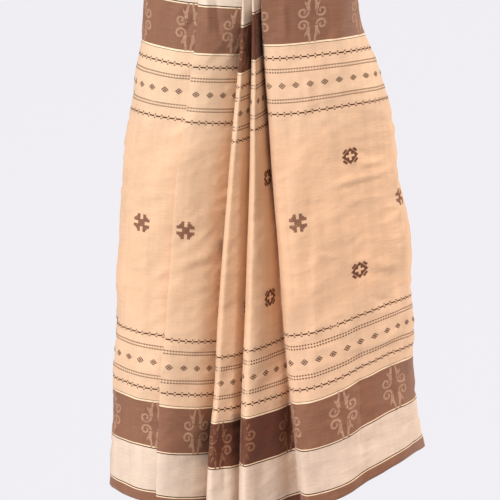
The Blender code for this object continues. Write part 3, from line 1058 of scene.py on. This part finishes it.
def dyed_thread(name, colour, pleat_shade=PLAIN):
    """Dyed cotton thread as it lies in the weave: matt, with the weft's unevenness and any painted
    shade given for the two front pleats.
    """
    material, tree, shader, places = cotton_material(name, roughness=0.9, specular=0.08)
    weft = noise_of(tree, places, DYED_WEFT)
    shade = add(tree, "ShaderNodeMapRange", {"Value": weft, "From Min": 0.3, "From Max": 0.7,
                                             "To Min": 0.75, "To Max": 1.25})[0]
    around = add(tree, "ShaderNodeSeparateXYZ", {"Vector": places})["X"]
    varied = times(tree, times(tree, linear(colour)[:3], shade), painted_pleat_shade(tree, around, pleat_shade))
    tree.links.new(varied, shader.inputs["Base Color"])
    return material


# The whole cloth as one open mesh, for the figures to be laid on by its map
cloth_bm = bmesh.new()
for points, places in grids:
    part_mesh = grid_mesh("part_of_cloth", points, places)
    cloth_bm.from_mesh(part_mesh)
    bpy.data.meshes.remove(part_mesh)
whole_mesh = bpy.data.meshes.new("whole_cloth")
cloth_bm.to_mesh(whole_mesh)
cloth_bm.free()
whole_cloth = add_object("whole_cloth", whole_mesh)
row_tree = woven_rows()
dark_thread = dyed_thread("dark_brown_thread", "#4a2308")
cross_thread = dyed_thread("light_brown_thread", "#86604b")
star_thread = dyed_thread("brown_thread", "#6f4836")
# The pale scrolls are darker in the two front pleats, as painted shade
pale_thread = dyed_thread("pale_thread", "#ab866c", (0.62, 0.50, 0.42))

# A barbed line is a broken line with a short barb above and below each gap. Widths, heights and how
# far the barbs lie off the line are in millimetres, and rows are in metres from the field's edge.
DASH_WIDE, DASH_TALL = 9.3, 2.4
BARB_WIDE, BARB_TALL, BARB_OFF = 2.4, 2.2, 2.9
BARBED_LOW, BARBED_HIGH = 0.023, 0.119
diamond_phase = -DIAMOND_BEFORE_SCROLL
barb_pitch = DIAMOND_PITCH / 2
barbed = flat_figure("barbed_line", [
    *boxes(-barb_pitch / MM / 2, 0.0, DASH_WIDE, DASH_TALL, parts=4),
    *boxes(0.0, BARB_OFF, BARB_WIDE, BARB_TALL),
    *boxes(0.0, -BARB_OFF, BARB_WIDE, BARB_TALL),
])
barbed_heights = rows_at(FIELD_EDGE + BARBED_LOW, FIELD_EDGE + BARBED_HIGH)
barbed_rows = starts(diamond_phase, barb_pitch, barbed_heights)
woven_figures("woven_barbed_lines", barbed, barbed_rows, barb_pitch, dark_thread)

# The real dots are 4.2 mm apart, which is too fine to show, so these are 5 mm apart
DOT_WIDE, DOT_TALL, DOT_OFF = 2.6, 2.4, 2.6
DOTS_LOW, DOTS_HIGH = 0.045, 0.097
dot_pitch = DIAMOND_PITCH / 5
dots = flat_figure("pair_of_dots", [*boxes(0.0, DOT_OFF, DOT_WIDE, DOT_TALL),
                                    *boxes(0.0, -DOT_OFF, DOT_WIDE, DOT_TALL)])
dot_rows = starts(diamond_phase, dot_pitch, rows_at(FIELD_EDGE + DOTS_LOW, FIELD_EDGE + DOTS_HIGH))
woven_figures("woven_dots", dots, dot_rows, dot_pitch, dark_thread)

# A diamond is a lattice with four pale holes, cut along both diagonals at these shares of its size
HALF_WIDE, HALF_TALL = 6.6, 5.5
CUTS = (-1.0, -0.70, -0.16, 0.16, 0.70, 1.0)
DIAMOND_ROW = 0.0705
lattice = []
for i, (p0, p1) in enumerate(zip(CUTS, CUTS[1:])):
    for j, (q0, q1) in enumerate(zip(CUTS, CUTS[1:])):
        if i not in (1, 3) or j not in (1, 3):
            lattice.append([(HALF_WIDE * (p + q) / 2, HALF_TALL * (p - q) / 2)
                            for p, q in ((p0, q0), (p0, q1), (p1, q1), (p1, q0))])
diamond_rows = starts(diamond_phase, DIAMOND_PITCH, rows_at(FIELD_EDGE + DIAMOND_ROW))
woven_figures("woven_diamonds", flat_figure("diamond", lattice), diamond_rows, DIAMOND_PITCH,
              dark_thread)

# Crosses and stars are charts of squares: how wide a square is, and how far the chart reaches from
# its middle, in millimetres
CROSS_SQUARE, CROSS_REACH = 1.85, 15.0
STAR_SQUARE, STAR_REACH = 1.45, 20.0


def cross_is_dark(x, y):
    """Four two-pronged lobes round a square heart, with a gap between each two. In millimetres."""
    heart, gap, prong, corner = 6, 3, 8.4, 21
    short, long = min(x, y), max(x, y)
    lobe = short > gap and long < CROSS_REACH
    return long < heart or (lobe and (short < prong or short + long < corner))


def star_is_dark(x, y):
    """A diamond with a pale plus in it, between four slanting bars. In millimetres."""
    diamond, plus_wide, plus_long, bar_from, bar_to, bar_long = 14.6, 2.2, 7.5, 16.8, 21.8, 6.2
    around, slant = x + y, abs(x - y)
    plus = min(x, y) < plus_wide and max(x, y) < plus_long
    return (around <= diamond and not plus) or (bar_from <= around <= bar_to and slant <= bar_long)


# Columns of crosses and of stars take turns. There are 21 in the cloth, so that the first and the
# last are both stars, and they meet at the seam, halfway between the two.
COLUMN_PITCH = 0.100
COLUMNS = 21
FIRST_STARS = -0.448
CROSS_ROW = 0.499
STAR_ROWS = (0.596, 0.386)
cross_starts, star_starts = [], []
for lap in (0, 1):
    for column in range(COLUMNS):
        u = FIRST_STARS + column * COLUMN_PITCH + lap * CLOTH_AROUND
        if u < LAST_U:
            cross_starts += [(u, CROSS_ROW)] if column % 2 else []
            star_starts += [] if column % 2 else [(u, height) for height in STAR_ROWS]
crosses = flat_figure("cross", cells(CROSS_SQUARE, CROSS_REACH, cross_is_dark))
stars = flat_figure("star", cells(STAR_SQUARE, STAR_REACH, star_is_dark))
woven_figures("woven_crosses", crosses, cross_starts, ONE_BY_ONE, cross_thread)
woven_figures("woven_stars", stars, star_starts, ONE_BY_ONE, star_thread)

# A scroll is four like quarters: each a tall tail that swells and curls into a spiral, and a leaf.
# Their points are across, up and half as wide as the stroke, in millimetres.
TAIL = [(4.5, 41.5, 1.5), (4.4, 36.0, 1.7), (5.6, 30.0, 2.2), (7.6, 24.5, 3.2), (7.4, 18.0, 3.2),
        (6.4, 13.0, 2.5)]
LEAF = [(8.4, 22.0, 1.8), (11.6, 25.5, 1.6), (13.4, 31.0, 0.4)]
SPIRAL_X, SPIRAL_Y, SPIRAL_RADIUS, SPIRAL_SHRINKS, SPIRAL_TURN = 16.5, 11.5, 9.6, 7.4, radians(430)
SPIRAL_POINTS, SPIRAL_HALF_WIDTH, SPIRAL_THINS = 15, 2.1, 0.6
STROKE_STEPS = 4
BAND_MIDDLE = 0.1423


def stroke(line):
    """The polygons of a stroke along a line of points with half widths, in millimetres."""
    line = smooth_path(line, STROKE_STEPS)
    along = np.gradient(line[:, :2], axis=0)
    along /= np.hypot(along[:, 0], along[:, 1])[:, None]
    across = np.stack((-along[:, 1], along[:, 0]), axis=1) * line[:, 2:]
    left, right = line[:, :2] + across, line[:, :2] - across
    return [[tuple(right[i]), tuple(right[i + 1]), tuple(left[i + 1]), tuple(left[i])]
            for i in range(len(line) - 1)]


spiral = []
for i in range(SPIRAL_POINTS):
    share = i / (SPIRAL_POINTS - 1)
    angle = pi + share * SPIRAL_TURN
    radius = SPIRAL_RADIUS - SPIRAL_SHRINKS * share
    spiral.append((SPIRAL_X + radius * cos(angle), SPIRAL_Y + radius * sin(angle),
                   SPIRAL_HALF_WIDTH - SPIRAL_THINS * share))
quarter = [*stroke(TAIL), *stroke(spiral), *stroke(LEAF)]
scroll = []
for x_side, y_side in ((1, 1), (-1, 1), (-1, -1), (1, -1)):
    for polygon in quarter:
        mirrored = [(x * x_side, y * y_side) for x, y in polygon]
        scroll.append(mirrored if x_side * y_side > 0 else mirrored[::-1])
scroll_rows = starts(0.0, SCROLL_PITCH, rows_at(BAND_MIDDLE))
woven_figures("woven_scrolls", flat_figure("scroll", scroll), scroll_rows, SCROLL_PITCH, pale_thread)


# The seam
# The cloth's two ends meet at the back in a felled seam: one end folded over the other into a flat
# strip of the same cotton, held by two rows of stitches. It is laid on the cloth as the figures are.
SEAM_U = 1.602
SEAM_WIDTH_MM = 9.0
SEAM_STEPS = 96
SEAM_STANDS = 0.00040
SEAM_ENDS_SHORT = 0.002
STITCH_LONG_MM, STITCH_WIDE_MM, STITCH_PITCH = 2.3, 0.6, 0.003
STITCHES_FROM_EDGE_MM = 1.2
STITCHES_END_SHORT = 0.006
STITCH_STANDS = 0.00015
step_mm = (HANG - 2 * SEAM_ENDS_SHORT) / MM / SEAM_STEPS
strip = [box for i in range(SEAM_STEPS)
         for box in boxes(0.0, (i - SEAM_STEPS / 2 + 0.5) * step_mm, SEAM_WIDTH_MM, step_mm, parts=3)]
woven_figures("felled_seam", flat_figure("seam_strip", strip), [(SEAM_U, HANG / 2)], ONE_BY_ONE,
              cotton, SEAM_STANDS)
stitch = flat_figure("stitch", boxes(0.0, 0.0, STITCH_WIDE_MM, STITCH_LONG_MM))
off_middle = (SEAM_WIDTH_MM / 2 - STITCHES_FROM_EDGE_MM) * MM
stitch_count = int((HANG - 2 * STITCHES_END_SHORT) / STITCH_PITCH)
stitch_places = [(SEAM_U + side * off_middle, STITCHES_END_SHORT + i * STITCH_PITCH)
                 for side in (-1, 1) for i in range(stitch_count)]
woven_figures("seam_stitches", stitch, stitch_places, ONE_BY_ONE, star_thread,
              SEAM_STANDS + STITCH_STANDS)
bpy.data.objects.remove(whole_cloth, do_unlink=True)
